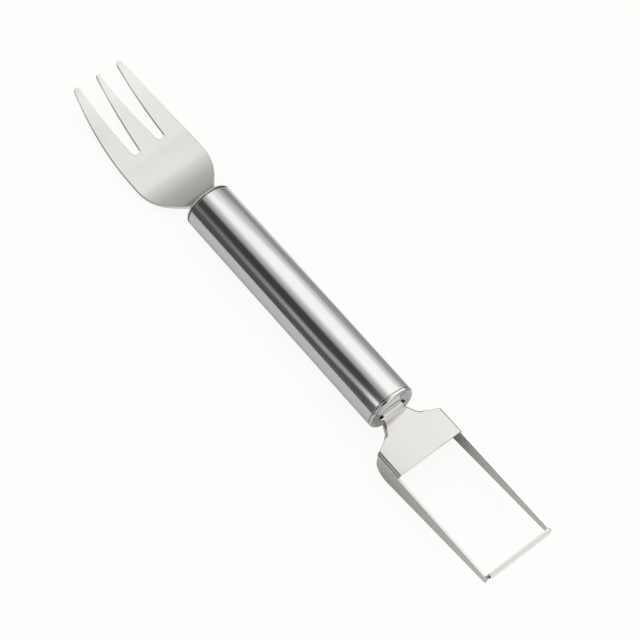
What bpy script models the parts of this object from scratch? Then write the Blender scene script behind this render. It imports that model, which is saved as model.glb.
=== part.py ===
"""Two-ended melon tool: a tube handle with a three-tined fork on one end and a slicer on the other.

The handle's axis is X, with the slicer towards +X. Z points up out of the slicer's flat web. The tool
rests on its slicer's folded sides, so the lowest point of those is z = 0, and x = 0 is the middle of
the tool's length.
"""

import math

import bmesh
import bpy
from mathutils import Matrix, Vector

MM = 0.001

# Handle: a drawn tube closed by two pressed caps
HANDLE_DIAMETER = 18.4 * MM
TUBE_LENGTH = 97.8 * MM
TUBE_WALL = 0.8 * MM
TUBE_EDGE_BREAK = 0.25 * MM
CAP_WALL = 0.9 * MM
CAP_SHOULDER = 1.15 * MM
CAP_SKIRT = 7.0 * MM
CAP_INNER_FILLET = 0.5 * MM
CLEARANCE = 0.3 * MM

# Tangs, the slots they pass through and the welds behind the slots
TANG_WIDTH = 8.4 * MM
TANG_LENGTH = 12.0 * MM
SLOT_END_PLAY = 1.4 * MM
SLOT_CUT_OVERRUN = 1.4 * MM
WELD_LEG = 1.3 * MM
WELD_NOSE = 0.26 * MM
WELD_END_MARGIN = 0.8 * MM

# Slicer: one stamped and folded sheet with a ground edge across its mouth
SLICER_REACH = 65.2 * MM
SLICER_WIDTH = 27.8 * MM
SLICER_SHEET = 0.8 * MM
JOGGLE_DROP = 1.8 * MM
JOGGLE_RADIUS = 0.6 * MM
JOGGLE_ANGLE = math.radians(60)
NECK_WIDTH = 10.8 * MM
NECK_FLARE = math.radians(27)
NECK_FILLET = 6.0 * MM
NECK_LIP = 1.92 * MM
NECK_LIP_RADIUS = 1.2 * MM
NECK_LIP_RUN_IN = 0.8 * MM
NECK_LIP_RUN_OUT = 1.7 * MM
SHOULDER_ANGLE = math.radians(64)
HEEL_REACH = 9.2 * MM
HEEL_CORNER_RADIUS = 0.8 * MM
HEEL_RADIUS = 5.6 * MM
WEB_REACH = 19.7 * MM
BEND_RADIUS = 1.6 * MM
SPRING_BACK = math.radians(2.4)
ARM_DEPTH_TOP = 1.6 * MM
ARM_DEPTH_HEEL = 12.0 * MM
ARM_DEPTH_TIP = 4.9 * MM
ARM_TIP_RADIUS = 0.6 * MM
ARM_SETBACK = 1.1 * MM
BAR_WIDTH = 1.85 * MM
BAR_GROUND_WIDTH = 1.1 * MM
BAR_EDGE = 0.12 * MM
NOTCH_RADIUS = 0.4 * MM

# Fork: one stamped and bent sheet
FORK_REACH = 64.1 * MM
FORK_WIDTH = 29.3 * MM
FORK_SHEET = 1.2 * MM
FORK_NECK_WIDTH = 9.2 * MM
FORK_NECK_LENGTH = 2.2 * MM
FORK_NECK_FILLET = 4.0 * MM
FORK_SHOULDER_ANGLE = math.radians(39)
FORK_SHOULDER_RADIUS = 19.0 * MM
FORK_SIDE_RADIUS = 197.0 * MM
TINE_SPAN = 20.8 * MM
TINE_LENGTH = 30.7 * MM
TINE_TIP_WIDTH = 2.3 * MM
MIDDLE_TIP_WIDTH = 1.4 * MM
MIDDLE_ROOT_WIDTH = 7.9 * MM
GAP_ROOT_WIDTH = 2.9 * MM
FORK_DROP = 5.45 * MM
FORK_BEND_RADIUS = 2.0 * MM
FORK_BEND_ANGLE = math.radians(36)
FORK_FLAT_LENGTH = 7.4 * MM
TINE_CURVE_RADIUS = 67.5 * MM

# Corner radius of a round end, as a share of its width: just under the half that leaves no flat
ROUND_END = 0.45

# Fineness of the facets
TURN_STEPS = 72
ARC_STEP = math.radians(12)
ARC_CHORD = 4.0 * MM
ARC_SHORTEST = 0.25 * MM
ARC_FEWEST_STEPS = 2
SLOT_END_STEPS = 4
WELD_NOSE_STEPS = 2
BEND_STEPS = 4
JOGGLE_STEPS = 3
NECK_STEPS = 8
FORK_BEND_STEPS = 3
FORK_SWEEP_STEPS = 8
TINE_CURVE_STEPS = 12
SHARP_ANGLE = math.radians(30)
MERGE_DISTANCE = 0.002 * MM

# Stainless steel's warm tint, times its grey
STEEL_TINT = (1.0, 0.99, 0.97)

# Places along the handle's axis, from the middle of the handle
TUBE_END = TUBE_LENGTH / 2
CAP_FACE = TUBE_END + CLEARANCE + CAP_SHOULDER
CAP_INNER_FACE = CAP_FACE - CAP_WALL
TANG_END = CAP_INNER_FACE - TANG_LENGTH
HANDLE_RADIUS = HANDLE_DIAMETER / 2
SKIRT_RADIUS = HANDLE_RADIUS - TUBE_WALL - CLEARANCE


def smooth_step(value):
    """Ease from 0 to 1 as value goes from 0 to 1, level at both ends."""
    t = min(max(value, 0.0), 1.0)
    return t * t * (3 - 2 * t)


def rounded(corners):
    """Points of an outline through corners (x, y, radius), rounded by arcs that touch both their sides."""
    points = []
    for index, (x, y, radius) in enumerate(corners):
        corner = Vector((x, y))
        if radius == 0:
            points.append(corner)
            continue
        before = (Vector(corners[index - 1][:2]) - corner).normalized()
        after = (Vector(corners[(index + 1) % len(corners)][:2]) - corner).normalized()
        half_angle = before.angle(after) / 2
        centre = corner + (before + after).normalized() * radius / math.sin(half_angle)
        spoke = corner + before * radius / math.tan(half_angle) - centre
        turn = math.copysign(math.pi - 2 * half_angle, after.cross(before))
        length = abs(turn) * radius
        steps = max(math.ceil(abs(turn) / ARC_STEP), math.ceil(length / ARC_CHORD))
        steps = max(ARC_FEWEST_STEPS, min(steps, round(length / ARC_SHORTEST)))
        points += [centre + Matrix.Rotation(turn * k / steps, 2) @ spoke for k in range(steps + 1)]
    return points


def steel(name, grey, roughness):
    """Plain stainless steel of the given grey and roughness."""
    material = bpy.data.materials.new(name)
    material.use_nodes = True
    shader = material.node_tree.nodes["Principled BSDF"]
    shader.inputs["Base Color"].default_value = (*(grey * tint for tint in STEEL_TINT), 1)
    shader.inputs["Roughness"].default_value = roughness
    shader.inputs["Metallic"].default_value = 1
    return material


def add_part(name, bm, material):
    """Named object of one closed body, carried by the tool's axis."""
    bmesh.ops.recalc_face_normals(bm, faces=bm.faces)
    mesh = bpy.data.meshes.new(name)
    bm.to_mesh(mesh)
    bm.free()
    mesh.shade_smooth()
    mesh.set_sharp_from_angle(angle=SHARP_ANGLE)
    mesh.materials.append(material)
    part = bpy.data.objects.new(name, mesh)
    part.parent = tool_axis
    bpy.context.collection.objects.link(part)
    return part


def turned(corners, closed, side):
    """Solid turned about X from profile corners (x, radius, fillet), at the +X or -X end."""
    bm = bmesh.new()
    profile = [bm.verts.new((side * x, r, 0)) for x, r in rounded(corners)]
    ends = profile[1:] + profile[:1] if closed else profile[1:]
    edges = [bm.edges.new(pair) for pair in zip(profile, ends)]
    bmesh.ops.spin(
        bm, geom=profile + edges, axis=(1, 0, 0), angle=math.tau, steps=TURN_STEPS, use_merge=True
    )
    bmesh.ops.remove_doubles(bm, verts=bm.verts, dist=MERGE_DISTANCE)
    return bm


def flat_sheet(half_outline, across, along, thickness, slanted=(), slant=0.0, slanted_end=0.0):
    """Flat blank of a sheet, its half outline mirrored in Y, cut along the lines where it will bend.

    The cuts run across at places in x, along at places in y, and slanted from places on the Y axis,
    these last only as far as slanted_end in x.
    """
    bm = bmesh.new()
    bm.faces.new([bm.verts.new((x, y, 0)) for x, y in half_outline])
    cuts = [((x, 0, 0), (1, 0, 0), math.inf) for x in across]
    cuts += [((0, y, 0), (-math.sin(slant), math.cos(slant), 0), slanted_end) for y in slanted]
    cuts += [((0, y, 0), (0, 1, 0), math.inf) for y in along]
    for point, normal, end in cuts:
        faces = [face for face in bm.faces if face.calc_center_bounds().x < end]
        edges = {edge for face in faces for edge in face.edges}
        verts = {vert for face in faces for vert in face.verts}
        geometry = faces + list(edges) + list(verts)
        bmesh.ops.bisect_plane(bm, geom=geometry, dist=MERGE_DISTANCE, plane_co=point, plane_no=normal)
    half = bm.verts[:] + bm.edges[:] + bm.faces[:]
    bmesh.ops.mirror(bm, geom=half, axis="Y", merge_dist=MERGE_DISTANCE)
    bmesh.ops.recalc_face_normals(bm, faces=bm.faces)
    lower = bmesh.ops.extrude_face_region(bm, geom=bm.faces[:], use_keep_orig=True)["geom"]
    for vert in (item for item in lower if isinstance(item, bmesh.types.BMVert)):
        vert.co.z = -thickness
    for vert in bm.verts:
        vert.co.z += thickness / 2
    return bm


def spaced(start, end, count):
    """Evenly spaced places from start to end, both included."""
    return [start + (end - start) * k / count for k in range(count + 1)]


def round_off(bm, edges, radius, steps):
    """Edges of a blank rounded to the radius."""
    bmesh.ops.bevel(
        bm, geom=edges, affect="EDGES", offset=radius, segments=steps, profile=0.5, material=-1
    )


def cut_slot(cap, sheet, side):
    """Slot with rounded ends through the cap's end wall, longer than the tang that it takes."""
    height = sheet + 2 * CLEARANCE
    bm = bmesh.new()
    bmesh.ops.create_cube(bm, size=1)
    size = (CAP_WALL + 2 * SLOT_CUT_OVERRUN, TANG_WIDTH + 2 * SLOT_END_PLAY, height)
    bmesh.ops.scale(bm, vec=size, verts=bm.verts)
    corners = [edge for edge in bm.edges if edge.verts[0].co.x * edge.verts[1].co.x < 0]
    round_off(bm, corners, height * ROUND_END, SLOT_END_STEPS)
    bmesh.ops.translate(bm, vec=(side * (CAP_INNER_FACE + CAP_WALL / 2), 0, 0), verts=bm.verts)
    cutter = add_part(cap.name + "_slot", bm, cap.data.materials[0])
    cutter.hide_render = True
    cutter.display_type = "WIRE"
    slot = cap.modifiers.new("slot", "BOOLEAN")
    slot.object = cutter


def add_cap(name, sheet, side):
    """Pressed cap: a skirt that plugs into the tube, a rounded shoulder and a slotted end face."""
    inner = SKIRT_RADIUS - CAP_WALL
    profile = [
        (CAP_INNER_FACE, 0, 0),
        (CAP_INNER_FACE, inner, CAP_INNER_FILLET),
        (TUBE_END - CAP_SKIRT, inner, 0),
        (TUBE_END - CAP_SKIRT, SKIRT_RADIUS, 0),
        (TUBE_END + CLEARANCE, SKIRT_RADIUS, 0),
        (TUBE_END + CLEARANCE, HANDLE_RADIUS, 0),
        (CAP_FACE, HANDLE_RADIUS, CAP_SHOULDER),
        (CAP_FACE, 0, 0),
    ]
    cap = add_part(name, turned(profile, closed=False, side=side), polished_steel)
    cut_slot(cap, sheet, side)


def add_weld(name, sheet, side, upper):
    """Fillet weld along one face of a tang, where the tang leaves the inside of its cap."""
    foot = sheet / 2 + CLEARANCE
    back = CAP_INNER_FACE - CLEARANCE
    section = [(back, foot), (back, foot + WELD_LEG), (back - WELD_LEG, foot)]
    half_length = TANG_WIDTH / 2 - WELD_END_MARGIN
    bm = bmesh.new()
    bm.faces.new([bm.verts.new((side * x, -half_length, upper * z)) for x, z in section])
    run = bmesh.ops.extrude_face_region(bm, geom=bm.faces[:], use_keep_orig=True)["geom"]
    far_end = [item for item in run if isinstance(item, bmesh.types.BMVert)]
    bmesh.ops.translate(bm, vec=(0, 2 * half_length, 0), verts=far_end)
    lengthwise = [edge for edge in bm.edges if edge.verts[0].co.y * edge.verts[1].co.y < 0]
    round_off(bm, lengthwise, WELD_NOSE, WELD_NOSE_STEPS)
    add_part(name, bm, weld_steel)


def add_slicer():
    """Slicer head: a blank with its mouth cut out, ground, joggled and folded down at both sides."""
    front = CAP_FACE + SLICER_REACH
    bar_back = front - BAR_WIDTH
    heel = CAP_FACE + HEEL_REACH
    web_end = CAP_FACE + WEB_REACH
    bend_angle = math.pi / 2 - SPRING_BACK
    middle_radius = BEND_RADIUS - SLICER_SHEET / 2
    bend_start = SLICER_WIDTH / 2 - BEND_RADIUS
    bend_end = bend_start + middle_radius * bend_angle
    lip_length = (NECK_LIP_RADIUS - SLICER_SHEET / 2) * bend_angle

    def place_at_depth(depth):
        """Place on the flat blank that the folds carry to this depth below the web's top."""
        below_bend = depth - SLICER_SHEET / 2 - middle_radius * (1 - math.cos(bend_angle))
        return bend_end + below_bend / math.sin(bend_angle)

    arm_top = place_at_depth(ARM_DEPTH_TOP)
    arm_front = front - ARM_SETBACK
    neck_start = CAP_FACE + CLEARANCE
    shoulder_run = bend_end - NECK_WIDTH / 2 - (heel - neck_start) * math.tan(NECK_FLARE)
    neck_corner = heel - shoulder_run / (math.tan(SHOULDER_ANGLE) - math.tan(NECK_FLARE))

    def neck_edge(x):
        """Half width of the flared neck."""
        return NECK_WIDTH / 2 + (x - neck_start) * math.tan(NECK_FLARE)

    outline = [
        (TANG_END, 0, 0),
        (TANG_END, TANG_WIDTH / 2, 0),
        (neck_start, TANG_WIDTH / 2, 0),
        (neck_start, NECK_WIDTH / 2, 0),
        (neck_corner, neck_edge(neck_corner), NECK_FILLET),
        (heel, bend_end, HEEL_CORNER_RADIUS),
        (heel, place_at_depth(ARM_DEPTH_HEEL), HEEL_RADIUS),
        (arm_front, place_at_depth(ARM_DEPTH_TIP), ARM_TIP_RADIUS),
        (arm_front, bend_end, 0),
        (front, bend_start, 0),
        (front, 0, 0),
        (bar_back, 0, 0),
        (bar_back, arm_top, NOTCH_RADIUS),
        (web_end, arm_top, NOTCH_RADIUS),
        (web_end, 0, 0),
    ]
    joggle_bend = JOGGLE_RADIUS * math.sin(JOGGLE_ANGLE)
    joggle_bend_drop = JOGGLE_RADIUS * (1 - math.cos(JOGGLE_ANGLE))
    joggle_run = (JOGGLE_DROP - 2 * joggle_bend_drop) / math.tan(JOGGLE_ANGLE)
    joggle_start = CAP_FACE - CLEARANCE / 2
    joggle_end = joggle_start + 2 * joggle_bend + joggle_run
    across = spaced(joggle_start, joggle_start + joggle_bend, JOGGLE_STEPS)
    across += spaced(joggle_end - joggle_bend, joggle_end, JOGGLE_STEPS)
    across += spaced(joggle_end, neck_corner, NECK_STEPS)[1:]
    across.append(front - BAR_GROUND_WIDTH)
    along = spaced(bend_start, bend_end, BEND_STEPS)
    slanted = spaced(neck_edge(0) - NECK_LIP, neck_edge(0) - NECK_LIP + lip_length, BEND_STEPS)

    def joggled(x):
        """Drop of the sheet below the tang, and its slope: a bend down, a straight run and a bend back."""
        along_run = x - joggle_start
        to_end = joggle_end - x
        if along_run <= 0:
            return 0.0, 0.0
        if along_run < joggle_bend:
            dropped = JOGGLE_RADIUS - math.sqrt(JOGGLE_RADIUS**2 - along_run**2)
            return dropped, math.asin(along_run / JOGGLE_RADIUS)
        if to_end <= 0:
            return JOGGLE_DROP, 0.0
        if to_end < joggle_bend:
            still_to_drop = JOGGLE_RADIUS - math.sqrt(JOGGLE_RADIUS**2 - to_end**2)
            return JOGGLE_DROP - still_to_drop, math.asin(to_end / JOGGLE_RADIUS)
        return joggle_bend_drop + (along_run - joggle_bend) * math.tan(JOGGLE_ANGLE), JOGGLE_ANGLE

    def ground_off(x, y):
        """Steel ground off the top of the mouth's bar, which runs out over the bends at its ends."""
        share = max(0.0, (x - front) / BAR_GROUND_WIDTH + 1)
        run_out = 1 - smooth_step((abs(y) - bend_start) / (bend_end - bend_start))
        return share * run_out * (SLICER_SHEET - BAR_EDGE)

    def fold(x):
        """Half width where the sheet starts to fold down, the fold's length on the blank and its angle."""
        if not neck_start < x < neck_corner:
            return bend_start, bend_end - bend_start, bend_angle
        run_in = smooth_step((x - neck_start) / NECK_LIP_RUN_IN)
        run_out = smooth_step((neck_corner - x) / NECK_LIP_RUN_OUT)
        return neck_edge(x) - NECK_LIP, lip_length, bend_angle * run_in * run_out

    def formed(x, y, height):
        """Where a point of the flat blank goes when the sheet is folded."""
        fold_start, fold_length, fold_angle = fold(x)
        fold_radius = fold_length / fold_angle
        angle = min(max((abs(y) - fold_start) / fold_radius, 0.0), fold_angle)
        flange = max(abs(y) - fold_start - fold_length, 0.0)
        reach = min(abs(y), fold_start) + (fold_radius + height) * math.sin(angle)
        reach += flange * math.cos(fold_angle)
        drop, slope = joggled(x)
        drop += fold_radius * (1 - math.cos(angle)) + flange * math.sin(fold_angle)
        level = height * math.cos(angle)
        z = level * math.cos(slope) - drop
        return Vector((x + level * math.sin(slope), math.copysign(reach, y), z))

    bm = flat_sheet(rounded(outline), across, along, SLICER_SHEET, slanted, NECK_FLARE, neck_corner)
    for vert in bm.verts:
        x, y, height = vert.co
        if height > 0:
            height -= ground_off(x, y)
        vert.co = formed(x, y, height)
    return add_part("slicer_head", bm, satin_steel)


def add_fork():
    """Fork head: a blank with tapered gaps between its tines, bent down to a palm and curved up."""
    tip = CAP_FACE + FORK_REACH
    half_width = FORK_WIDTH / 2
    bend_start = CAP_FACE + CLEARANCE
    neck_corner = CAP_FACE + FORK_NECK_LENGTH
    shoulder_rise = half_width - FORK_NECK_WIDTH / 2
    shoulder_corner = neck_corner + shoulder_rise / math.tan(FORK_SHOULDER_ANGLE)
    side_lean = half_width - TINE_SPAN / 2
    side_corner = tip - FORK_SIDE_RADIUS * math.tan(math.acos(1 - side_lean / FORK_SIDE_RADIUS) / 2)
    gap_root = tip - TINE_LENGTH
    gap_inner = MIDDLE_ROOT_WIDTH / 2
    gap_outer = gap_inner + GAP_ROOT_WIDTH
    tip_inner = TINE_SPAN / 2 - TINE_TIP_WIDTH
    outline = [
        (TANG_END, 0, 0),
        (TANG_END, TANG_WIDTH / 2, 0),
        (bend_start, TANG_WIDTH / 2, 0),
        (bend_start, FORK_NECK_WIDTH / 2, 0),
        (neck_corner, FORK_NECK_WIDTH / 2, FORK_NECK_FILLET),
        (shoulder_corner, half_width, FORK_SHOULDER_RADIUS),
        (side_corner, half_width, FORK_SIDE_RADIUS),
        (tip, TINE_SPAN / 2, TINE_TIP_WIDTH * ROUND_END),
        (tip, tip_inner, TINE_TIP_WIDTH * ROUND_END),
        (gap_root, gap_outer, GAP_ROOT_WIDTH * ROUND_END),
        (gap_root, gap_inner, GAP_ROOT_WIDTH * ROUND_END),
        (tip, MIDDLE_TIP_WIDTH / 2, MIDDLE_TIP_WIDTH * ROUND_END),
        (tip, 0, 0),
    ]
    bend_end = bend_start + FORK_BEND_RADIUS * math.sin(FORK_BEND_ANGLE)
    sweep_drop = FORK_DROP - FORK_BEND_RADIUS * (1 - math.cos(FORK_BEND_ANGLE))
    sweep_length = 3 * sweep_drop / math.tan(FORK_BEND_ANGLE)
    sweep_end = bend_end + sweep_length
    curve_start = sweep_end + FORK_FLAT_LENGTH
    across = spaced(bend_start, bend_end, FORK_BEND_STEPS)
    across += spaced(bend_end, sweep_end, FORK_SWEEP_STEPS)[1:]
    across += spaced(curve_start, tip, TINE_CURVE_STEPS)[:-1]

    def dropped(x):
        """Drop of the sheet below the tang, and its slope: a bend down and a cubic sweep to level."""
        along_bend = max(x - bend_start, 0.0)
        if x < bend_end:
            drop = FORK_BEND_RADIUS - math.sqrt(FORK_BEND_RADIUS**2 - along_bend**2)
            return drop, math.asin(along_bend / FORK_BEND_RADIUS)
        share = max(sweep_end - x, 0.0) / sweep_length
        return FORK_DROP - sweep_drop * share**3, math.atan(math.tan(FORK_BEND_ANGLE) * share**2)

    bm = flat_sheet(rounded(outline), across, (), FORK_SHEET)
    for vert in bm.verts:
        x, y, height = vert.co
        drop, slope = dropped(x)
        beyond = max(x - curve_start, 0.0)
        lift = TINE_CURVE_RADIUS - math.sqrt(TINE_CURVE_RADIUS**2 - beyond**2)
        z = height * math.cos(slope) - drop + lift
        vert.co = Vector((-x - height * math.sin(slope), y, z))
    return add_part("fork_head", bm, satin_steel)


for old in list(bpy.data.objects):
    bpy.data.objects.remove(old)

tool_axis = bpy.data.objects.new("tool_axis", None)
bpy.context.collection.objects.link(tool_axis)
polished_steel = steel("polished_steel", grey=0.69, roughness=0.1)
satin_steel = steel("satin_steel", grey=0.6, roughness=0.18)
weld_steel = steel("weld_steel", grey=0.42, roughness=0.5)

tube_profile = [
    (-TUBE_END, HANDLE_RADIUS - TUBE_WALL, 0),
    (TUBE_END, HANDLE_RADIUS - TUBE_WALL, 0),
    (TUBE_END, HANDLE_RADIUS, TUBE_EDGE_BREAK),
    (-TUBE_END, HANDLE_RADIUS, TUBE_EDGE_BREAK),
]
add_part("handle_tube", turned(tube_profile, closed=True, side=1), polished_steel)
add_cap("slicer_end_cap", SLICER_SHEET, side=1)
add_cap("fork_end_cap", FORK_SHEET, side=-1)
slicer_head = add_slicer()
add_fork()
for end, sheet, side in (("slicer", SLICER_SHEET, 1), ("fork", FORK_SHEET, -1)):
    add_weld(f"{end}_weld_top", sheet, side, upper=1)
    add_weld(f"{end}_weld_bottom", sheet, side, upper=-1)

lowest = min(vert.co.z for vert in slicer_head.data.vertices)
tool_axis.location = ((FORK_REACH - SLICER_REACH) / 2, 0, max(-lowest, HANDLE_RADIUS))
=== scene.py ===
import math

import bmesh
import bpy
from mathutils import Matrix, Vector


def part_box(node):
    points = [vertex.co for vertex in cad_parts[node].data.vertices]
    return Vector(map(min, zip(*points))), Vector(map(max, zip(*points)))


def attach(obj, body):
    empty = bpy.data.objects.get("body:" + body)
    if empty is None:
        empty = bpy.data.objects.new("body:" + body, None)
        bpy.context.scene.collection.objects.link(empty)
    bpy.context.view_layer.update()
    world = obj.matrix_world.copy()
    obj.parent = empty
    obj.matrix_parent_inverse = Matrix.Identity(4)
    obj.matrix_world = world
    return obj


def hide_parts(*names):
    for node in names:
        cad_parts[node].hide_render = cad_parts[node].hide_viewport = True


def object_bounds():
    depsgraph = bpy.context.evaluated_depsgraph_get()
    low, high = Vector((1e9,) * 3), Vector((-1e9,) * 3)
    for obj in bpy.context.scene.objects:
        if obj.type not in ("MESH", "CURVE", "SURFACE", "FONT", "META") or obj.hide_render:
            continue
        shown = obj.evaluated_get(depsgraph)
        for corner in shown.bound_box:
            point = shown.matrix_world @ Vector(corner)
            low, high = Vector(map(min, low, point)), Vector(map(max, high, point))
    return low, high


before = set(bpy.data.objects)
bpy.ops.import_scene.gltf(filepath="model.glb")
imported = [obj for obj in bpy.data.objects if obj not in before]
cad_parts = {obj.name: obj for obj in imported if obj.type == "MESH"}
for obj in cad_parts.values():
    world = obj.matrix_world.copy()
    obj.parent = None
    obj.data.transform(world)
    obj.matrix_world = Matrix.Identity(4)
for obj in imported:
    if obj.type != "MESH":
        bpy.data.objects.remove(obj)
cad_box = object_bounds()

# Handle tube: a drawn stainless tube, cut to length and polished bright along its axis.
# Its ends are square with their outer edges broken, and a cap plugs into each of them.
MM = 0.001
tube_low, tube_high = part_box("handle_tube")
handle_middle = (tube_low + tube_high) / 2
handle_radius = (tube_high.z - tube_low.z) / 2
tube_end = (tube_high.x - tube_low.x) / 2
TUBE_WALL = 0.8 * MM
TUBE_EDGE_BREAK = 0.25 * MM
TURN_STEPS = 256
ARC_STEP = math.radians(6)
ARC_CHORD = 0.8 * MM
MERGE_DISTANCE = 0.001 * MM
SHARP_ANGLE = math.radians(40)
POLISHED_GREY = (0.69, 0.684, 0.675, 1)
WIPED_GREY = (0.63, 0.624, 0.615, 1)
POLISHED_ROUGHNESS = 0.07
LINE_ROUGHNESS = 0.04
WIPE_ROUGHNESS = 0.06


class Tone:
    """A socket among a finish's nodes, or none yet. Sums on tones add Math nodes, and node() adds others."""

    def __init__(self, tree, socket=None):
        self.tree = tree
        self.socket = socket

    def node(self, kind, settings=None, inputs=None, output=0):
        """Output of a new node, with its settings, and with values or tones on its inputs."""
        made = self.tree.nodes.new(kind)
        for name, value in (settings or {}).items():
            if name == "stops":
                elements = made.color_ramp.elements
                elements[0].position = value[0][0]
                elements[1].position = value[-1][0]
                for position, _ in value[1:-1]:
                    elements.new(position)
                for element, (_, colour) in zip(elements, value):
                    element.color = colour
            else:
                setattr(made, name, value)
        for name, value in (inputs or {}).items():
            if isinstance(value, Tone):
                self.tree.links.new(value.socket, made.inputs[name])
            else:
                made.inputs[name].default_value = value
        return Tone(self.tree, made.outputs[output])

    def math(self, operation, first, second=0.0):
        """Output of a new Math node on numbers or tones."""
        return self.node("ShaderNodeMath", {"operation": operation}, {0: first, 1: second})

    def __add__(self, other):
        return self.math("ADD", self, other)

    def __radd__(self, other):
        return self.math("ADD", other, self)

    def __sub__(self, other):
        return self.math("SUBTRACT", self, other)

    def __rsub__(self, other):
        return self.math("SUBTRACT", other, self)

    def __mul__(self, other):
        return self.math("MULTIPLY", self, other)

    def __rmul__(self, other):
        return self.math("MULTIPLY", other, self)

    def __pow__(self, other):
        return self.math("POWER", self, other)

    def __rpow__(self, other):
        return self.math("POWER", other, self)


def noise(place, scale, detail=3.0, stretch=(1, 1, 1)):
    """Noise of this many grains a metre, drawn out along an axis where the stretch there is small."""
    stretched = place.node("ShaderNodeMapping", inputs={"Vector": place, "Scale": stretch})
    inputs = {"Vector": stretched, "Scale": scale, "Detail": detail}
    return place.node("ShaderNodeTexNoise", inputs=inputs)


def blended(share, first, second):
    """Colour that goes from the first to the second as the share goes from 0 to 1."""
    inputs = {0: share, 6: first, 7: second}
    return share.node("ShaderNodeMix", {"data_type": "RGBA"}, inputs, output=2)


def new_finish(name):
    """A new material, its nodes, and the place on the piece that it finishes."""
    material = bpy.data.materials.new(name)
    material.use_nodes = True
    tree = material.node_tree
    return material, tree, Tone(tree).node("ShaderNodeTexCoord", output="Object")


def steel_finish(name, colour, roughness, height, strength, distance):
    """Steel material from functions of the place on the piece: its colour, roughness and surface height."""
    material, tree, place = new_finish(name)
    shader = tree.nodes["Principled BSDF"]
    shader.inputs["Metallic"].default_value = 1
    inputs = {"Strength": strength, "Distance": distance, "Height": height(place)}
    relief = place.node("ShaderNodeBump", inputs=inputs)
    tree.links.new(colour(place).socket, shader.inputs["Base Color"])
    tree.links.new(roughness(place).socket, shader.inputs["Roughness"])
    tree.links.new(relief.socket, shader.inputs["Normal"])
    return material


def polishing_lines(place):
    """Lines that the polishing wheel leaves along the handle."""
    return noise(place, scale=4000, detail=2, stretch=(0.006, 1, 1))


def wipe_marks(place):
    """Faint patches where the steel has been wiped and handled."""
    return noise(place, scale=60, detail=4, stretch=(0.6, 1, 1)) ** 3


def polished_roughness(place):
    """Bright all over, a little duller along the polishing lines and where it has been wiped."""
    marks = LINE_ROUGHNESS * polishing_lines(place)
    return POLISHED_ROUGHNESS + marks + WIPE_ROUGHNESS * wipe_marks(place)


polished_steel = steel_finish(
    "polished_steel",
    colour=lambda place: blended(wipe_marks(place), POLISHED_GREY, WIPED_GREY),
    roughness=polished_roughness,
    height=polishing_lines,
    strength=0.06,
    distance=0.02 * MM,
)


def rounded(corners):
    """Points of an outline through corners (x, y, radius), rounded by arcs that touch both their sides."""
    points = []
    for index, (x, y, radius) in enumerate(corners):
        corner = Vector((x, y))
        if radius == 0:
            points.append(corner)
            continue
        before = (Vector(corners[index - 1][:2]) - corner).normalized()
        after = (Vector(corners[(index + 1) % len(corners)][:2]) - corner).normalized()
        half_angle = before.angle(after) / 2
        centre = corner + (before + after).normalized() * radius / math.sin(half_angle)
        spoke = corner + before * radius / math.tan(half_angle) - centre
        turn = math.copysign(math.pi - 2 * half_angle, after.cross(before))
        steps = max(math.ceil(abs(turn) / ARC_STEP), math.ceil(abs(turn) * radius / ARC_CHORD))
        points += [centre + Matrix.Rotation(turn * k / steps, 2) @ spoke for k in range(steps + 1)]
    return points


def turned(corners, side=1):
    """Shell turned about the handle's axis from profile corners (x, radius, fillet)."""
    bm = bmesh.new()
    profile = [bm.verts.new((side * x, r, 0)) for x, r in rounded(corners)]
    edges = [bm.edges.new(pair) for pair in zip(profile, profile[1:])]
    turned_parts = profile + edges
    bmesh.ops.spin(
        bm, geom=turned_parts, axis=(1, 0, 0), angle=math.tau, steps=TURN_STEPS, use_merge=True
    )
    bmesh.ops.remove_doubles(bm, verts=bm.verts, dist=MERGE_DISTANCE)
    return bm


def add_piece(name, bm, finish, node):
    """Object of a finished mesh, moved from the handle's middle to its place, that stands for a solid."""
    bmesh.ops.remove_doubles(bm, verts=bm.verts, dist=MERGE_DISTANCE)
    bmesh.ops.recalc_face_normals(bm, faces=bm.faces)
    bmesh.ops.translate(bm, vec=handle_middle, verts=bm.verts)
    mesh = bpy.data.meshes.new(name)
    bm.to_mesh(mesh)
    bm.free()
    mesh.shade_smooth()
    mesh.set_sharp_from_angle(angle=SHARP_ANGLE)
    mesh.materials.append(finish)
    piece = bpy.data.objects.new(name, mesh)
    bpy.context.collection.objects.link(piece)
    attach(piece, "root")
    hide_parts(node)
    return piece


tube_profile = [
    (tube_end, handle_radius - TUBE_WALL, 0),
    (tube_end, handle_radius, TUBE_EDGE_BREAK),
    (-tube_end, handle_radius, TUBE_EDGE_BREAK),
    (-tube_end, handle_radius - TUBE_WALL, 0),
    (tube_end, handle_radius - TUBE_WALL, 0),
]
add_piece("polished_tube", turned(tube_profile), polished_steel, "handle_tube")

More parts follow.
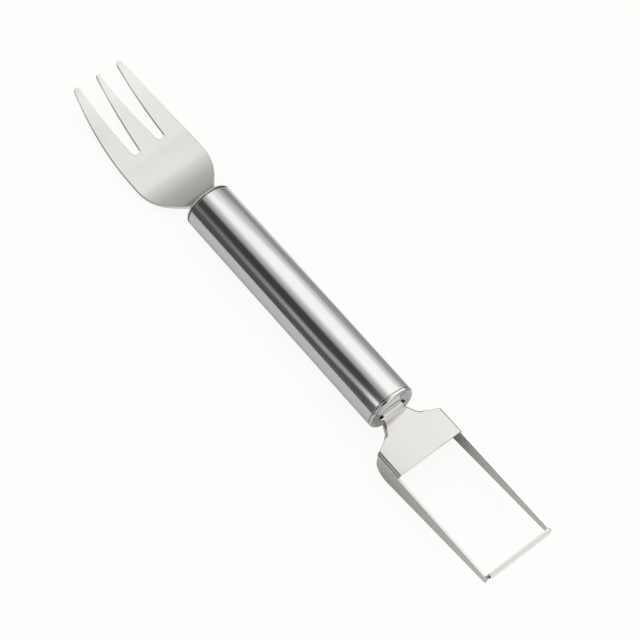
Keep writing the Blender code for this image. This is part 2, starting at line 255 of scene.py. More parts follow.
# End caps: pressed from stainless sheet, with a skirt that plugs into the tube and a round outer shoulder.
# Each end face has a slot with round ends, longer than the tang that passes through it.
# They are polished together with the tube.
cap_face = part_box("slicer_end_cap")[1].x - handle_middle.x
CAP_WALL = 0.9 * MM
CAP_SKIRT = 7.0 * MM
CAP_INNER_FILLET = 0.5 * MM
CLEARANCE = 0.3 * MM
TANG_WIDTH = 8.4 * MM
SLOT_END_PLAY = 1.4 * MM
SLOT_EDGE_BREAK = 0.1 * MM
SLICER_SHEET = 0.8 * MM
FORK_SHEET = 1.2 * MM
cap_shoulder = cap_face - tube_end - CLEARANCE
cap_inner_face = cap_face - CAP_WALL
skirt_radius = handle_radius - TUBE_WALL - CLEARANCE
cap_inner_radius = skirt_radius - CAP_WALL
cap_face_radius = handle_radius - 2 * cap_shoulder
cap_profile = [
    (cap_face, cap_face_radius, 0),
    (cap_face, handle_radius, cap_shoulder),
    (tube_end + CLEARANCE, handle_radius, 0),
    (tube_end + CLEARANCE, skirt_radius, 0),
    (tube_end - CAP_SKIRT, skirt_radius, 0),
    (tube_end - CAP_SKIRT, cap_inner_radius, 0),
    (cap_inner_face, cap_inner_radius, CAP_INNER_FILLET),
    (cap_inner_face, cap_face_radius, 0),
]


def slotted_cap(sheet, side):
    """Cap with its end wall closed in from the turned rims to the slot."""
    bm = turned(cap_profile, side)
    half_height = sheet / 2 + CLEARANCE
    straight = TANG_WIDTH / 2 + SLOT_END_PLAY - half_height
    for x in (side * cap_face, side * cap_inner_face):
        rim = [edge for edge in bm.edges if edge.is_boundary and abs(edge.verts[0].co.x - x) < CLEARANCE]
        turn = Matrix.Translation((x, 0, 0)) @ Matrix.Rotation(math.pi / 2, 4, "Y")
        ring = bmesh.ops.create_circle(bm, segments=TURN_STEPS, radius=half_height, matrix=turn)["verts"]
        for vert in ring:
            vert.co.y += math.copysign(straight, vert.co.y)
        slot = {edge for vert in ring for edge in vert.link_edges}
        bmesh.ops.bridge_loops(bm, edges=rim + list(slot))
    bmesh.ops.bridge_loops(bm, edges=[edge for edge in bm.edges if edge.is_boundary])
    mouth = [
        edge
        for edge in bm.edges
        if all(abs(vert.co.x - side * cap_face) < MERGE_DISTANCE for vert in edge.verts)
        and all(abs(vert.co.z) < half_height + MERGE_DISTANCE for vert in edge.verts)
        and edge.calc_face_angle(0) > SHARP_ANGLE
    ]
    bmesh.ops.bevel(
        bm, geom=mouth, affect="EDGES", offset=SLOT_EDGE_BREAK, segments=3, profile=0.5, material=-1
    )
    return bm


for end, sheet, side in (("slicer", SLICER_SHEET, 1), ("fork", FORK_SHEET, -1)):
    cap = slotted_cap(sheet, side)
    add_piece(f"{end}_cap", cap, polished_steel, f"{end}_end_cap")

# Slicer head: one stainless sheet, stamped with its mouth cut out, satin finished, then formed in a press.
# Its neck is joggled down with its edges folded to lips, its sides are folded down and taper into arms,
# and the bar across the arms' tips is ground to an edge. The tang is welded in its cap.
slicer_low, slicer_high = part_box("slicer_head")
SLICER_WIDTH = 27.8 * MM
JOGGLE_DROP = 1.8 * MM
JOGGLE_RADIUS = 0.6 * MM
JOGGLE_ANGLE = math.radians(60)
NECK_WIDTH = 10.8 * MM
NECK_FLARE = math.radians(27)
NECK_FILLET = 6.0 * MM
NECK_LIP = 1.92 * MM
NECK_LIP_RADIUS = 1.2 * MM
NECK_LIP_RUN_IN = 0.8 * MM
NECK_LIP_RUN_OUT = 1.7 * MM
HEEL_REACH = 9.2 * MM
HEEL_CORNER_RADIUS = 0.8 * MM
HEEL_RADIUS = 5.6 * MM
WEB_REACH = 19.7 * MM
BEND_RADIUS = 1.6 * MM
SPRING_BACK = math.radians(2.4)
SHOULDER_ANGLE = math.radians(64)
ARM_DEPTH_TOP = 1.6 * MM
ARM_DEPTH_HEEL = 12.0 * MM
ARM_DEPTH_TIP = 4.9 * MM
ARM_TIP_RADIUS = 0.6 * MM
ARM_SETBACK = 1.1 * MM
BAR_WIDTH = 1.85 * MM
BAR_GROUND_WIDTH = 1.1 * MM
BAR_EDGE = 0.12 * MM
NOTCH_RADIUS = 0.4 * MM
SLICER_EDGE_RADIUS = 0.25 * MM
ARM_EDGE_RADIUS = 0.08 * MM
EDGE_ROWS = (0.0, 0.1, 0.33, 1.0, 1.5)
JOGGLE_STEP = 0.08 * MM
NECK_STEP = 0.15 * MM
SHOULDER_STEP = 0.25 * MM
ARM_STEP = 2.0 * MM
BEVEL_STEP = 0.2 * MM
BEND_STEP = 0.1 * MM
NOTCH_MARGIN = 1.0 * MM
SATIN_GREY = (0.622, 0.602, 0.566, 1)
DULL_GREY = (0.575, 0.572, 0.556, 1)
# Painted highlight: the sheared edges get a lighter grey than the steel.
EDGE_HIGHLIGHT_GREY = (0.82, 0.814, 0.803, 1)
# Painted shade: the lower cut edges are painted near black.
LOWER_EDGE_SHADE_GREY = (0.22, 0.217, 0.212, 1)
GROUND_GREY = (0.74, 0.735, 0.726, 1)
SATIN_ROUGHNESS = 0.06
GRAIN_ROUGHNESS = 0.05
PATCH_ROUGHNESS = 0.04
SHEARED_ROUGHNESS = 0.06
GROUND_ROUGHNESS = 0.05


def satin_grain(place):
    """Fine lines that the finishing belt leaves along the tool."""
    return noise(place, scale=9000, detail=3, stretch=(0.012, 1, 1))


def satin_patches(place):
    """Slow unevenness of the satin, from the belt's passes and from use."""
    return noise(place, scale=110, detail=4, stretch=(0.4, 1, 1))


def edge_share(place, name):
    """How far a point is on a cut or ground face of the sheet, from 0 to 1."""
    return place.node("ShaderNodeAttribute", {"attribute_name": name}, output="Fac")


def satin_colour(place):
    """Grey, patchy on the faces and bright where ground, with a painted highlight on the sheared edges and
    near-black painted shade on the lower edges, where the shear broke through.
    """
    face = blended(satin_patches(place), SATIN_GREY, DULL_GREY)
    # Painted highlight: the sheared edges are painted lighter.
    sheared = blended(edge_share(place, "cut_edge") ** 2, face, EDGE_HIGHLIGHT_GREY)
    # Painted shade: the lower cut edges, where the shear broke through, are painted near black.
    lower_edge_shaded = blended(edge_share(place, "broken_edge") ** 8, sheared, LOWER_EDGE_SHADE_GREY)
    return blended(edge_share(place, "ground"), lower_edge_shaded, GROUND_GREY)


def satin_roughness(place):
    """Satin all over, a little rougher on the sheared edges and where the bar is ground."""
    face = SATIN_ROUGHNESS + GRAIN_ROUGHNESS * satin_grain(place) + PATCH_ROUGHNESS * satin_patches(place)
    sheared = SHEARED_ROUGHNESS * edge_share(place, "cut_edge") ** 4
    return face + sheared + GROUND_ROUGHNESS * edge_share(place, "ground")


satin_steel = steel_finish(
    "satin_steel",
    colour=satin_colour,
    roughness=satin_roughness,
    height=lambda place: satin_grain(place) * (1 - edge_share(place, "ground")),
    strength=0.12,
    distance=0.01 * MM,
)


def smooth_step(value):
    """Ease from 0 to 1 as value goes from 0 to 1, level at both ends."""
    t = min(max(value, 0.0), 1.0)
    return t * t * (3 - 2 * t)


def spaced(start, end, step):
    """Even places from start to end, no more than a step apart."""
    count = math.ceil((end - start) / step)
    return [start + (end - start) * k / count for k in range(count + 1)]


def sheared_blank(half_outline, edge_radius):
    """Flat blank of a half outline and its mirror image, with rows of faces along its edge for rounding."""
    bm = bmesh.new()
    cut_edge = bm.verts.layers.float.new("cut_edge")
    bm.faces.new([bm.verts.new((x, y, 0)) for x, y in half_outline])
    half = bm.verts[:] + bm.edges[:] + bm.faces[:]
    bmesh.ops.mirror(bm, geom=half, axis="Y", merge_dist=MERGE_DISTANCE)
    bmesh.ops.recalc_face_normals(bm, faces=bm.faces)
    sheet = bm.faces[:]
    for vert in bm.verts:
        vert[cut_edge] = 1
    for outer, inner in zip(EDGE_ROWS, EDGE_ROWS[1:]):
        width = (inner - outer) * edge_radius
        bmesh.ops.inset_region(bm, faces=sheet, thickness=width, use_boundary=True, use_even_offset=True)
        for vert in {vert for face in sheet for vert in face.verts}:
            vert[cut_edge] = max(1 - inner, 0)
    return bm


def rounded_off(nearness, edge_radius, radius):
    """Depth that a rounding takes off a face near its edge, where nearness is 1 at the edge."""
    inset = (1 - nearness) * edge_radius
    return radius * (1 - math.sqrt(1 - max(1 - inset / radius, 0) ** 2))


def cut(bm, normal, places, start=-math.inf, end=math.inf):
    """Cuts the blank square to a direction at places along it, over its faces from start to end in x."""
    for place in places:
        faces = [face for face in bm.faces if start < face.calc_center_bounds().x < end]
        edges = {edge for face in faces for edge in face.edges}
        verts = {vert for face in faces for vert in face.verts}
        bmesh.ops.bisect_plane(
            bm,
            geom=faces + list(edges) + list(verts),
            dist=MERGE_DISTANCE,
            plane_co=Vector(normal) * place,
            plane_no=normal,
        )


def both_sides(places):
    """Places in y and their mirror images."""
    return places + [-place for place in places if place]


def thickened(bm, thickness):
    """Blank given its thickness, half above and half below its middle plane."""
    lower = bmesh.ops.extrude_face_region(bm, geom=bm.faces[:], use_keep_orig=True)["geom"]
    for vert in bm.verts:
        vert.co.z = thickness / 2
    for vert in (item for item in lower if isinstance(item, bmesh.types.BMVert)):
        vert.co.z = -thickness / 2


front = slicer_high.x - handle_middle.x
tang_end = slicer_low.x - handle_middle.x
bar_back = front - BAR_WIDTH
heel = cap_face + HEEL_REACH
web_end = cap_face + WEB_REACH
bend_angle = math.pi / 2 - SPRING_BACK
middle_radius = BEND_RADIUS - SLICER_SHEET / 2
bend_start = SLICER_WIDTH / 2 - BEND_RADIUS
bend_end = bend_start + middle_radius * bend_angle
lip_length = (NECK_LIP_RADIUS - SLICER_SHEET / 2) * bend_angle
arm_front = front - ARM_SETBACK
neck_start = cap_face + CLEARANCE
shoulder_run = bend_end - NECK_WIDTH / 2 - (heel - neck_start) * math.tan(NECK_FLARE)
neck_corner = heel - shoulder_run / (math.tan(SHOULDER_ANGLE) - math.tan(NECK_FLARE))
joggle_bend = JOGGLE_RADIUS * math.sin(JOGGLE_ANGLE)
joggle_bend_drop = JOGGLE_RADIUS * (1 - math.cos(JOGGLE_ANGLE))
joggle_run = (JOGGLE_DROP - 2 * joggle_bend_drop) / math.tan(JOGGLE_ANGLE)
joggle_start = cap_face - CLEARANCE / 2
joggle_end = joggle_start + 2 * joggle_bend + joggle_run


def place_at_depth(depth):
    """Place on the flat blank that the folds carry to this depth below the web's top."""
    below_bend = depth - SLICER_SHEET / 2 - middle_radius * (1 - math.cos(bend_angle))
    return bend_end + below_bend / math.sin(bend_angle)


arm_top = place_at_depth(ARM_DEPTH_TOP)


def neck_edge(x):
    """Half width of the flared neck."""
    return NECK_WIDTH / 2 + (x - neck_start) * math.tan(NECK_FLARE)


def joggled(x):
    """Drop of the sheet below the tang, and its slope: a bend down, a straight run and a bend back."""
    along_run = x - joggle_start
    to_end = joggle_end - x
    if along_run <= 0:
        return 0.0, 0.0
    if along_run < joggle_bend:
        dropped = JOGGLE_RADIUS - math.sqrt(JOGGLE_RADIUS**2 - along_run**2)
        return dropped, math.asin(along_run / JOGGLE_RADIUS)
    if to_end <= 0:
        return JOGGLE_DROP, 0.0
    if to_end < joggle_bend:
        still_to_drop = JOGGLE_RADIUS - math.sqrt(JOGGLE_RADIUS**2 - to_end**2)
        return JOGGLE_DROP - still_to_drop, math.asin(to_end / JOGGLE_RADIUS)
    return joggle_bend_drop + (along_run - joggle_bend) * math.tan(JOGGLE_ANGLE), JOGGLE_ANGLE


def across_bend(y):
    """How far a place is across the bend into a side, from 0 on the web to 1 on the side."""
    return smooth_step((abs(y) - bend_start) / (bend_end - bend_start))


def ground_share(x, y):
    """How far the bar's top is ground off: 0 behind the bevel, 1 at its edge, and run out at its ends."""
    return max(0.0, (x - front) / BAR_GROUND_WIDTH + 1) * (1 - across_bend(y))


def fold(x):
    """Half width where the sheet starts to fold down, the fold's length on the blank and its angle."""
    if not neck_start < x < neck_corner:
        return bend_start, bend_end - bend_start, bend_angle
    run_in = smooth_step((x - neck_start) / NECK_LIP_RUN_IN)
    run_out = smooth_step((neck_corner - x) / NECK_LIP_RUN_OUT)
    return neck_edge(x) - NECK_LIP, lip_length, bend_angle * run_in * run_out


def formed(x, y, height):
    """Where a point of the flat blank goes when the sheet is folded."""
    fold_start, fold_length, fold_angle = fold(x)
    fold_radius = fold_length / fold_angle
    angle = min(max((abs(y) - fold_start) / fold_radius, 0.0), fold_angle)
    flange = max(abs(y) - fold_start - fold_length, 0.0)
    reach = min(abs(y), fold_start) + (fold_radius + height) * math.sin(angle)
    reach += flange * math.cos(fold_angle)
    drop, slope = joggled(x)
    drop += fold_radius * (1 - math.cos(angle)) + flange * math.sin(fold_angle)
    level = height * math.cos(angle)
    z = level * math.cos(slope) - drop
    return Vector((x + level * math.sin(slope), math.copysign(reach, y), z))


slicer_outline = [
    (tang_end, 0, 0),
    (tang_end, TANG_WIDTH / 2, 0),
    (neck_start, TANG_WIDTH / 2, 0),
    (neck_start, NECK_WIDTH / 2, 0),
    (neck_corner, neck_edge(neck_corner), NECK_FILLET),
    (heel, bend_end, HEEL_CORNER_RADIUS),
    (heel, place_at_depth(ARM_DEPTH_HEEL), HEEL_RADIUS),
    (arm_front, place_at_depth(ARM_DEPTH_TIP), ARM_TIP_RADIUS),
    (arm_front, bend_end, 0),
    (front, bend_start, 0),
    (front, 0, 0),
    (bar_back, 0, 0),
    (bar_back, arm_top, NOTCH_RADIUS),
    (web_end, arm_top, NOTCH_RADIUS),
    (web_end, 0, 0),
]
slicer_blank = sheared_blank(rounded(slicer_outline), SLICER_EDGE_RADIUS)
cut(slicer_blank, (1, 0, 0), spaced(joggle_start, joggle_start + joggle_bend, JOGGLE_STEP))
cut(slicer_blank, (1, 0, 0), spaced(joggle_end - joggle_bend, joggle_end, JOGGLE_STEP))
cut(slicer_blank, (1, 0, 0), spaced(joggle_end, neck_corner, NECK_STEP))
cut(slicer_blank, (1, 0, 0), spaced(neck_corner, heel, SHOULDER_STEP))
cut(slicer_blank, (1, 0, 0), spaced(heel, front, ARM_STEP))
cut(slicer_blank, (1, 0, 0), spaced(front - BAR_GROUND_WIDTH, front, BEVEL_STEP))
cut(slicer_blank, (0, 1, 0), both_sides(spaced(bend_start, bend_end, BEND_STEP)))
lip_start = (neck_edge(0) - NECK_LIP) * math.cos(NECK_FLARE)
lip_places = spaced(lip_start, lip_start + lip_length * math.cos(NECK_FLARE), BEND_STEP)
for side in (-1, 1):
    across_lip = (-math.sin(NECK_FLARE), side * math.cos(NECK_FLARE), 0)
    cut(slicer_blank, across_lip, lip_places, neck_start, neck_corner)
thickened(slicer_blank, SLICER_SHEET)
slicer_cut = slicer_blank.verts.layers.float["cut_edge"]
slicer_ground = slicer_blank.verts.layers.float.new("ground")
slicer_lower_edge_shade = slicer_blank.verts.layers.float.new("broken_edge")
for vert in slicer_blank.verts:
    x, y, height = vert.co
    at_bar = x > bar_back - NOTCH_MARGIN
    ground = ground_share(x, y) * (1 - BAR_EDGE / SLICER_SHEET)
    radius = SLICER_EDGE_RADIUS
    if height > 0:
        on_arm = 1.0 if at_bar else across_bend(y)
        radius += on_arm * (ARM_EDGE_RADIUS - SLICER_EDGE_RADIUS)
    rounding = rounded_off(vert[slicer_cut], SLICER_EDGE_RADIUS, radius) * (1 - ground)
    if height > 0:
        vert[slicer_ground] = min(ground * BAR_GROUND_WIDTH / SLICER_EDGE_RADIUS, 1)
        height -= rounding + ground * SLICER_SHEET
    else:
        # Marks the lower cut edges for painted shade.
        vert[slicer_lower_edge_shade] = vert[slicer_cut] * (1 - ground)
        height += rounding
    if at_bar and abs(y) < bend_start:
        vert[slicer_cut] = 0
    vert.co = formed(x, y, height)
slicer = add_piece("slicer_sheet", slicer_blank, satin_steel, "slicer_head")

# Fork head: one thicker stainless sheet, stamped, satin finished and bent in a press, its edges rounded.
# It bends down from the handle and sweeps level into a flat palm, and its three tapered tines curve up
# to their tips. The tang is welded in its cap.
fork_low, fork_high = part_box("fork_head")
FORK_NECK_WIDTH = 9.2 * MM
FORK_NECK_LENGTH = 2.2 * MM
FORK_NECK_FILLET = 4.0 * MM
FORK_SHOULDER_ANGLE = math.radians(39)
FORK_SHOULDER_RADIUS = 19.0 * MM
FORK_SIDE_RADIUS = 197.0 * MM
TINE_SPAN = 20.8 * MM
TINE_LENGTH = 30.7 * MM
TINE_TIP_WIDTH = 2.3 * MM
MIDDLE_TIP_WIDTH = 1.4 * MM
MIDDLE_ROOT_WIDTH = 7.9 * MM
GAP_ROOT_WIDTH = 2.9 * MM
ROUND_END = 0.45
FORK_DROP = 5.45 * MM
FORK_BEND_RADIUS = 2.0 * MM
FORK_BEND_ANGLE = math.radians(36)
FORK_FLAT_LENGTH = 7.4 * MM
TINE_CURVE_RADIUS = 67.5 * MM
FORK_EDGE_RADIUS = 0.2 * MM
FORK_STEP = 0.5 * MM

fork_tip = handle_middle.x - fork_low.x
palm_half_width = fork_high.y
fork_bend_start = cap_face + CLEARANCE
fork_bend_end = fork_bend_start + FORK_BEND_RADIUS * math.sin(FORK_BEND_ANGLE)
sweep_drop = FORK_DROP - FORK_BEND_RADIUS * (1 - math.cos(FORK_BEND_ANGLE))
sweep_length = 3 * sweep_drop / math.tan(FORK_BEND_ANGLE)
sweep_end = fork_bend_end + sweep_length
tine_curve_start = sweep_end + FORK_FLAT_LENGTH
fork_neck_corner = cap_face + FORK_NECK_LENGTH
fork_shoulder_rise = palm_half_width - FORK_NECK_WIDTH / 2
fork_shoulder_corner = fork_neck_corner + fork_shoulder_rise / math.tan(FORK_SHOULDER_ANGLE)
fork_side_turn = math.acos(1 - (palm_half_width - TINE_SPAN / 2) / FORK_SIDE_RADIUS)
fork_side_corner = fork_tip - FORK_SIDE_RADIUS * math.tan(fork_side_turn / 2)
gap_root = fork_tip - TINE_LENGTH
gap_inner = MIDDLE_ROOT_WIDTH / 2
gap_outer = gap_inner + GAP_ROOT_WIDTH


def dropped(x):
    """Drop of the sheet below the tang, and its slope: a bend down and a cubic sweep to level."""
    along_bend = max(x - fork_bend_start, 0.0)
    if x < fork_bend_end:
        drop = FORK_BEND_RADIUS - math.sqrt(FORK_BEND_RADIUS**2 - along_bend**2)
        return drop, math.asin(along_bend / FORK_BEND_RADIUS)
    share = max(sweep_end - x, 0.0) / sweep_length
    return FORK_DROP - sweep_drop * share**3, math.atan(math.tan(FORK_BEND_ANGLE) * share**2)


fork_outline = [
    (tang_end, 0, 0),
    (tang_end, TANG_WIDTH / 2, 0),
    (fork_bend_start, TANG_WIDTH / 2, 0),
    (fork_bend_start, FORK_NECK_WIDTH / 2, 0),
    (fork_neck_corner, FORK_NECK_WIDTH / 2, FORK_NECK_FILLET),
    (fork_shoulder_corner, palm_half_width, FORK_SHOULDER_RADIUS),
    (fork_side_corner, palm_half_width, FORK_SIDE_RADIUS),
    (fork_tip, TINE_SPAN / 2, TINE_TIP_WIDTH * ROUND_END),
    (fork_tip, TINE_SPAN / 2 - TINE_TIP_WIDTH, TINE_TIP_WIDTH * ROUND_END),
    (gap_root, gap_outer, GAP_ROOT_WIDTH * ROUND_END),
    (gap_root, gap_inner, GAP_ROOT_WIDTH * ROUND_END),
    (fork_tip, MIDDLE_TIP_WIDTH / 2, MIDDLE_TIP_WIDTH * ROUND_END),
    (fork_tip, 0, 0),
]
fork_blank = sheared_blank(rounded(fork_outline), FORK_EDGE_RADIUS)
cut(fork_blank, (1, 0, 0), spaced(fork_bend_start, fork_bend_end, BEND_STEP))
cut(fork_blank, (1, 0, 0), spaced(fork_bend_end, fork_tip, FORK_STEP))
thickened(fork_blank, FORK_SHEET)
fork_cut = fork_blank.verts.layers.float["cut_edge"]
for vert in fork_blank.verts:
    x, y, height = vert.co
    rounding = rounded_off(vert[fork_cut], FORK_EDGE_RADIUS, FORK_EDGE_RADIUS)
    height -= math.copysign(rounding, height)
    drop, slope = dropped(x)
    beyond = max(x - tine_curve_start, 0.0)
    lift = TINE_CURVE_RADIUS - math.sqrt(TINE_CURVE_RADIUS**2 - beyond**2)
    z = height * math.cos(slope) - drop + lift
    vert.co = Vector((-x - height * math.sin(slope), y, z))
add_piece("fork_sheet", fork_blank, satin_steel, "fork_head")

# Welds: a fillet run along each face of each tang, laid inside the cap before it is pressed into the tube.
# The metal is left as welded, grey and rippled.
WELD_GREY = (0.42, 0.415, 0.405, 1)
HEAT_GREY = (0.3, 0.27, 0.24, 1)
WELD_ROUGHNESS = 0.42
WELD_SCALE_ROUGHNESS = 0.2


def weld_ripples(place):
    """Ripples that the weld pool leaves across the run."""
    settings = {"wave_type": "BANDS", "bands_direction": "Y"}
    inputs = {"Vector": place, "Scale": 900.0, "Distortion": 3.0, "Detail": 2.0}
    return place.node("ShaderNodeTexWave", settings, inputs, output="Fac")


weld_steel = steel_finish(
    "weld_steel",
    colour=lambda place: blended(noise(place, scale=700), WELD_GREY, HEAT_GREY),
    roughness=lambda place: WELD_ROUGHNESS + WELD_SCALE_ROUGHNESS * noise(place, scale=1500),
    height=weld_ripples,
    strength=0.6,
    distance=0.1 * MM,
)
for end in ("slicer", "fork"):
    for face in ("top", "bottom"):
        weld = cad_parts[f"{end}_weld_{face}"]
        weld.data.materials.clear()
        weld.data.materials.append(weld_steel)

# Floor: matt white paper. The tool lies on the slicer's two heels and on the rim of the handle's fork end,
# so the paper leans a little against the handle's axis. The camera sees it almost white, faintly shaded.
FLOOR_SIZE = 3.0
PAPER_WHITE = (0.93, 0.93, 0.925, 1)
PAPER_SHADE = (0.9, 0.9, 0.895, 1)
PAPER_ROUGHNESS = 0.9
PAPER_SHEEN = 0.1
PAPER_GLOW = 0.92
PAPER_GLOW_COLOUR = (1.0, 1.0, 0.985, 1)
rim_x = handle_middle.x - tube_end - CLEARANCE
rim_z = handle_middle.z - handle_radius
lean = min((vert.co.z - rim_z) / (vert.co.x - rim_x) for vert in slicer.data.vertices)


def add_stage(name, bm, material):
    """Object of a finished mesh that belongs to the studio."""
    mesh = bpy.data.meshes.new(name)
    bm.to_mesh(mesh)
    bm.free()
    mesh.materials.append(material)
    stage = bpy.data.objects.new(name, mesh)
    bpy.context.collection.objects.link(stage)
    return stage


def seen_ray(tree):
    """One for a ray from the camera, a reflection or a clear body, and zero for one that gathers light."""
    camera_ray, glossy_ray, passing_ray = (
        Tone(tree).node("ShaderNodeLightPath", output=f"Is {kind} Ray")
        for kind in ("Camera", "Glossy", "Transmission")
    )
    return camera_ray.math("MAXIMUM", camera_ray.math("MAXIMUM", camera_ray, glossy_ray), passing_ray)


def paper_finish(name, colour, glow):
    """Matt paper with a colour by the place on it, which the rays that see it find partly plain white."""
    material, tree, place = new_finish(name)
    shader = tree.nodes["Principled BSDF"]
    shader.inputs["Roughness"].default_value = PAPER_ROUGHNESS
    shader.inputs["Specular IOR Level"].default_value = PAPER_SHEEN
    tree.links.new(colour(place).socket, shader.inputs["Base Color"])
    white = place.node("ShaderNodeEmission", inputs={"Color": PAPER_GLOW_COLOUR, "Strength": 1.0})
    inputs = {0: seen_ray(tree) * glow, 1: Tone(tree, shader.outputs["BSDF"]), 2: white}
    mixed = place.node("ShaderNodeMixShader", inputs=inputs)
    tree.links.new(mixed.socket, tree.nodes["Material Output"].inputs["Surface"])
    return material


def sheet_on_floor(low, high, rise):
    """Flat mesh over a stretch of the leaning floor, raised above it."""
    bm = bmesh.new()
    bmesh.ops.create_grid(bm, x_segments=1, y_segments=1, size=0.5)
    for vert in bm.verts:
        x = low[0] + (vert.co.x + 0.5) * (high[0] - low[0])
        y = low[1] + (vert.co.y + 0.5) * (high[1] - low[1])
        vert.co = Vector((x, y, rim_z + lean * (x - rim_x) + rise))
    return bm


def floor_colour(place):
    """White with a faint mottle."""
    return blended(noise(place, scale=900), PAPER_WHITE, PAPER_SHADE)


white_paper = paper_finish("white_paper", floor_colour, PAPER_GLOW)
floor_mesh = sheet_on_floor((-FLOOR_SIZE, -FLOOR_SIZE), (FLOOR_SIZE, FLOOR_SIZE), 0)
add_stage("floor", floor_mesh, white_paper)

# Table card: paper under the tool that only the steel's reflections see, its greys a painted reflection of
# the table that real steel mirrors in its lower faces: pale round the tool, grey on the far side and dark on
# the near one.
CARD_MARGIN = 0.7
CARD_RISE = 0.05 * MM
# Painted reflection levels along the tool.
PAINTED_REFLECTION_ALONG = ((-0.08, 0.6), (-0.055, 0.73), (0.045, 0.73), (0.06, 0.69), (0.115, 0.8))
# Painted reflection levels across the tool, with painted light in bands under and beside the handle, where
# the tool shades the card.
PAINTED_REFLECTION_ACROSS = (
    (-0.14, 0.12), (-0.085, 1.0), (-0.01, 1.04), (-0.005, 1.35), (0.005, 1.35), (0.009, 1.0),
    (0.0135, 1.0), (0.017, 1.28), (0.028, 0.62), (0.05, 0.5), (0.12, 0.65),
)
CARD_SLANT = 0.3


def shade_along(tone, stops):
    """Grey level that changes with a tone, by stops (value, level) from the lowest value to the highest."""
    low = stops[0][0]
    length = stops[-1][0] - low
    peak = max(level for _, level in stops)
    ramp_stops = [((value - low) / length, (level / peak,) * 3 + (1,)) for value, level in stops]
    ramp = tone.node("ShaderNodeValToRGB", {"stops": ramp_stops}, {"Fac": (tone - low) * (1 / length)})
    return ramp * peak


def axes(place):
    """A place's x, y and z, each a tone of its own."""
    return [place.node("ShaderNodeSeparateXYZ", inputs={"Vector": place}, output=axis) for axis in "XYZ"]


def painted_reflection_colour(place):
    """Painted reflection: grey that changes along the tool and across it, aslant on the fork's side."""
    x, y, _ = axes(place)
    across = y + CARD_SLANT * x.math("MINIMUM", x, 0.0)
    return shade_along(x, PAINTED_REFLECTION_ALONG) * shade_along(across, PAINTED_REFLECTION_ACROSS)


def only_reflected(stage):
    """Hides a studio piece from all but reflections."""
    stage.visible_camera = False
    stage.visible_diffuse = False
    stage.visible_transmission = False
    stage.visible_shadow = False


card_low = (cad_box[0].x - CARD_MARGIN, cad_box[0].y - CARD_MARGIN)
card_high = (cad_box[1].x + CARD_MARGIN, cad_box[1].y + CARD_MARGIN)
card_mesh = sheet_on_floor(card_low, card_high, CARD_RISE)
# The card's greys are a painted reflection, seen only by the steel.
painted_reflection_paper = paper_finish("painted_reflection_paper", painted_reflection_colour, glow=0.0)
only_reflected(add_stage("painted_reflection_card", card_mesh, painted_reflection_paper))

# Studio: a white room and a soft lamp overhead, which light the tool at a plain level.
# The room looks white but lights a little less than that, and the steel doesn't mirror the lamp.
ROOM_LEVEL = 0.72
LAMP_HEIGHT = 1.0
LAMP_OFFSET = 0.15
LAMP_SIZE = 0.7
LAMP_POWER = 2.6
scene = bpy.context.scene
room = bpy.data.worlds.new("white_room")
room.use_nodes = True
scene.world = room
room_shader = room.node_tree.nodes["Background"]
room_shader.inputs["Color"].default_value = (1, 1, 1, 1)
room_strength = ROOM_LEVEL + (1 - ROOM_LEVEL) * seen_ray(room.node_tree)
room.node_tree.links.new(room_strength.socket, room_shader.inputs["Strength"])

lamp_data = bpy.data.lights.new("overhead_softbox", "AREA")
lamp_data.size = LAMP_SIZE
lamp_data.energy = LAMP_POWER
lamp = bpy.data.objects.new("overhead_softbox", lamp_data)
lamp.location = (0, LAMP_OFFSET, LAMP_HEIGHT)
lamp.rotation_euler = (-lamp.location).to_track_quat("-Z", "Y").to_euler()
lamp.visible_glossy = False
bpy.context.collection.objects.link(lamp)

# Light tent: cloth round the handle's axis that only the steel's reflections see. It is black on the near
# side, white above and grey low on the far side, and it fades past the fork. A lit slit slants across the
# black side. Grey panels show in the slicer's folds and, at the ends of the near side, from behind.
TENT_RADIUS = 0.6
TENT_LENGTH = 12.0
TENT_STEPS = 96
TENT_LEVELS = (
    (-90, 0.1), (-76, 0.1), (-50, 0.06), (-26, 0.06), (-20, 0.13), (-14, 0.44), (-5, 0.6), (4, 0.93),
    (13, 1.3), (20, 1.37), (50, 1.37), (60, 1.08), (66, 0.9), (73, 0.83), (80, 0.66), (84, 0.5), (90, 0.42),
)
TENT_TWIST = math.radians(40)
TENT_TWIST_MIDDLE = -0.22
TENT_TWIST_REACH = 0.1
TENT_FADE = (
    (-1.65, 0.42), (-1.25, 0.42), (-0.97, 0.47), (-0.76, 0.5), (-0.625, 0.59), (-0.535, 0.7),
    (-0.485, 0.74), (-0.47, 0.84), (-0.46, 0.96), (-0.34, 0.96), (-0.25, 1.0), (-0.2, 1.01),
    (-0.1, 1.05), (0.0, 1.1), (0.08, 1.1), (0.2, 0.85), (0.4, 0.7), (0.75, 0.75), (1.1, 0.95),
    (1.4, 1.25), (2.0, 1.3),
)
TENT_FADE_SLANT = 0.4
SLIT_MIDDLE = math.radians(-61.5)
SLIT_TURN = math.radians(130)
SLIT_TURN_START = -0.177
SLIT_HALF_WIDTH = math.radians(16)
SLIT_LEVELS = (
    (-0.4, 0.1), (-0.294, 0.19), (-0.251, 0.24), (-0.205, 0.37), (-0.155, 0.38), (-0.125, 0.42),
    (-0.11, 1.15), (-0.06, 1.3), (0.02, 1.3), (0.07, 0.0),
)
NEAR_PANEL_ACROSS = ((-88, 0.0), (-80, 1.0), (-18, 1.0), (-8, 0.0))
NEAR_PANEL_ALONG = (
    (-0.47, 0.5), (-0.38, 0.0), (-0.116, 0.0), (-0.104, 0.13), (-0.06, 0.13), (-0.03, 0.26),
    (0.03, 0.26), (0.12, 0.18), (0.2, 0.0),
)
NEAR_END_ACROSS = ((-88, 0.0), (-80, 1.0), (-52, 1.0), (-44, 0.0))
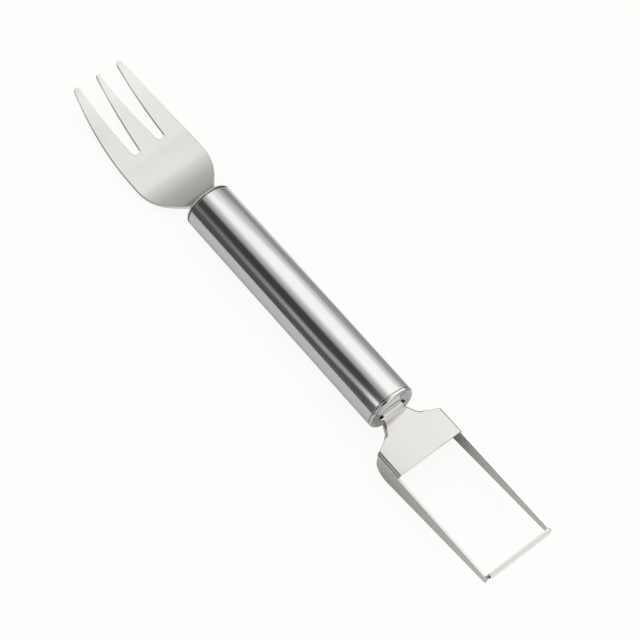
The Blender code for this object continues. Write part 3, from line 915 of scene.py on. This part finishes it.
NEAR_END_ALONG = ((0.49, 0.0), (0.59, 0.45))
NEAR_END_SLANT = 0.37
FAR_PANEL_ACROSS = ((48, 0.0), (58, 0.4), (72, 0.8), (80, 1.0), (87, 0.67))
FAR_PANEL_ALONG = (
    (-0.35, 0.0), (-0.31, 0.18), (-0.25, 0.12), (-0.21, 0.0), (-0.116, 0.0), (-0.104, 0.75),
    (-0.06, 0.75), (-0.03, 1.5), (0.03, 1.5), (0.2, 0.0),
)


def shade_round(angle, stops):
    """Grey level that changes round the tent, by stops (degrees from overhead, level)."""
    return shade_along(angle, [(math.radians(degrees), level) for degrees, level in stops])


tent_bm = bmesh.new()
ends = [tent_bm.verts.new((x, -TENT_RADIUS, 0)) for x in (-TENT_LENGTH / 2, TENT_LENGTH / 2)]
tent_edge = tent_bm.edges.new(ends)
bmesh.ops.spin(tent_bm, geom=ends + [tent_edge], axis=(1, 0, 0), angle=-math.pi, steps=TENT_STEPS)
bmesh.ops.translate(tent_bm, vec=(0, 0, handle_middle.z), verts=tent_bm.verts)
tent_cloth, tent_tree, tent_place = new_finish("tent_cloth")
tent_x, tent_y, tent_z = axes(tent_place)
tent_angle = tent_y.math("ARCTAN2", tent_y, tent_z - handle_middle.z)
twist_reach = {"From Min": -TENT_TWIST_REACH, "From Max": TENT_TWIST_REACH}
twist_turn = {"To Min": -TENT_TWIST * TENT_TWIST_REACH, "To Max": TENT_TWIST * TENT_TWIST_REACH}
twist_inputs = {"Value": tent_x - TENT_TWIST_MIDDLE} | twist_reach | twist_turn
twist = tent_x.node("ShaderNodeMapRange", inputs=twist_inputs)
cloth = shade_round(tent_angle - twist, TENT_LEVELS)
near_panel = shade_round(tent_angle, NEAR_PANEL_ACROSS) * shade_along(tent_x, NEAR_PANEL_ALONG)
past_end = shade_along(tent_x - NEAR_END_SLANT * tent_angle, NEAR_END_ALONG)
near_end = shade_round(tent_angle, NEAR_END_ACROSS) * past_end
far_panel = shade_round(tent_angle, FAR_PANEL_ACROSS) * shade_along(tent_x, FAR_PANEL_ALONG)
fade = shade_along(tent_x - TENT_FADE_SLANT * tent_y, TENT_FADE)
slit_turn = SLIT_TURN * tent_x.math("MAXIMUM", tent_x - SLIT_TURN_START, 0.0)
from_slit = tent_x.math("ABSOLUTE", tent_angle - SLIT_MIDDLE - slit_turn)
slit_inputs = {"Value": from_slit, "From Min": SLIT_HALF_WIDTH, "From Max": 0.0}
slit = tent_x.node("ShaderNodeMapRange", {"interpolation_type": "SMOOTHSTEP"}, slit_inputs)
tent_light = cloth * fade + near_panel + near_end + far_panel + slit * shade_along(tent_x, SLIT_LEVELS)
tent_glow = tent_light.node("ShaderNodeEmission", inputs={"Color": tent_light, "Strength": 1.0})
tent_tree.links.new(tent_glow.socket, tent_tree.nodes["Material Output"].inputs["Surface"])
only_reflected(add_stage("light_tent", tent_bm, tent_cloth))

# Camera: above the tool on its slicer's near side and rolled a little, with a long lens.
# It stands as far off as the photograph's perspective says.
CAMERA_AZIMUTH = math.radians(47.97)
CAMERA_ELEVATION = math.radians(62.35)
CAMERA_ROLL = math.radians(3.49)
CAMERA_DISTANCE = 744.56 * MM
CAMERA_RIGHT = 7.6 * MM
CAMERA_UP = -5.44 * MM
CAMERA_LENS = 123.31
CAMERA_CLIP_START = 0.05
camera_data = bpy.data.cameras.new("camera")
camera_data.lens = CAMERA_LENS
camera_data.clip_start = CAMERA_CLIP_START
camera = bpy.data.objects.new("camera", camera_data)
camera_tilt = Matrix.Rotation(math.pi / 2 - CAMERA_ELEVATION, 4, "X")
camera_turn = Matrix.Rotation(CAMERA_AZIMUTH, 4, "Z") @ camera_tilt @ Matrix.Rotation(CAMERA_ROLL, 4, "Z")
camera_place = Vector((CAMERA_RIGHT, CAMERA_UP, CAMERA_DISTANCE))
camera.matrix_world = Matrix.Translation(handle_middle) @ camera_turn @ Matrix.Translation(camera_place)
bpy.context.collection.objects.link(camera)
scene.camera = camera
scene.view_settings.view_transform = "Standard"
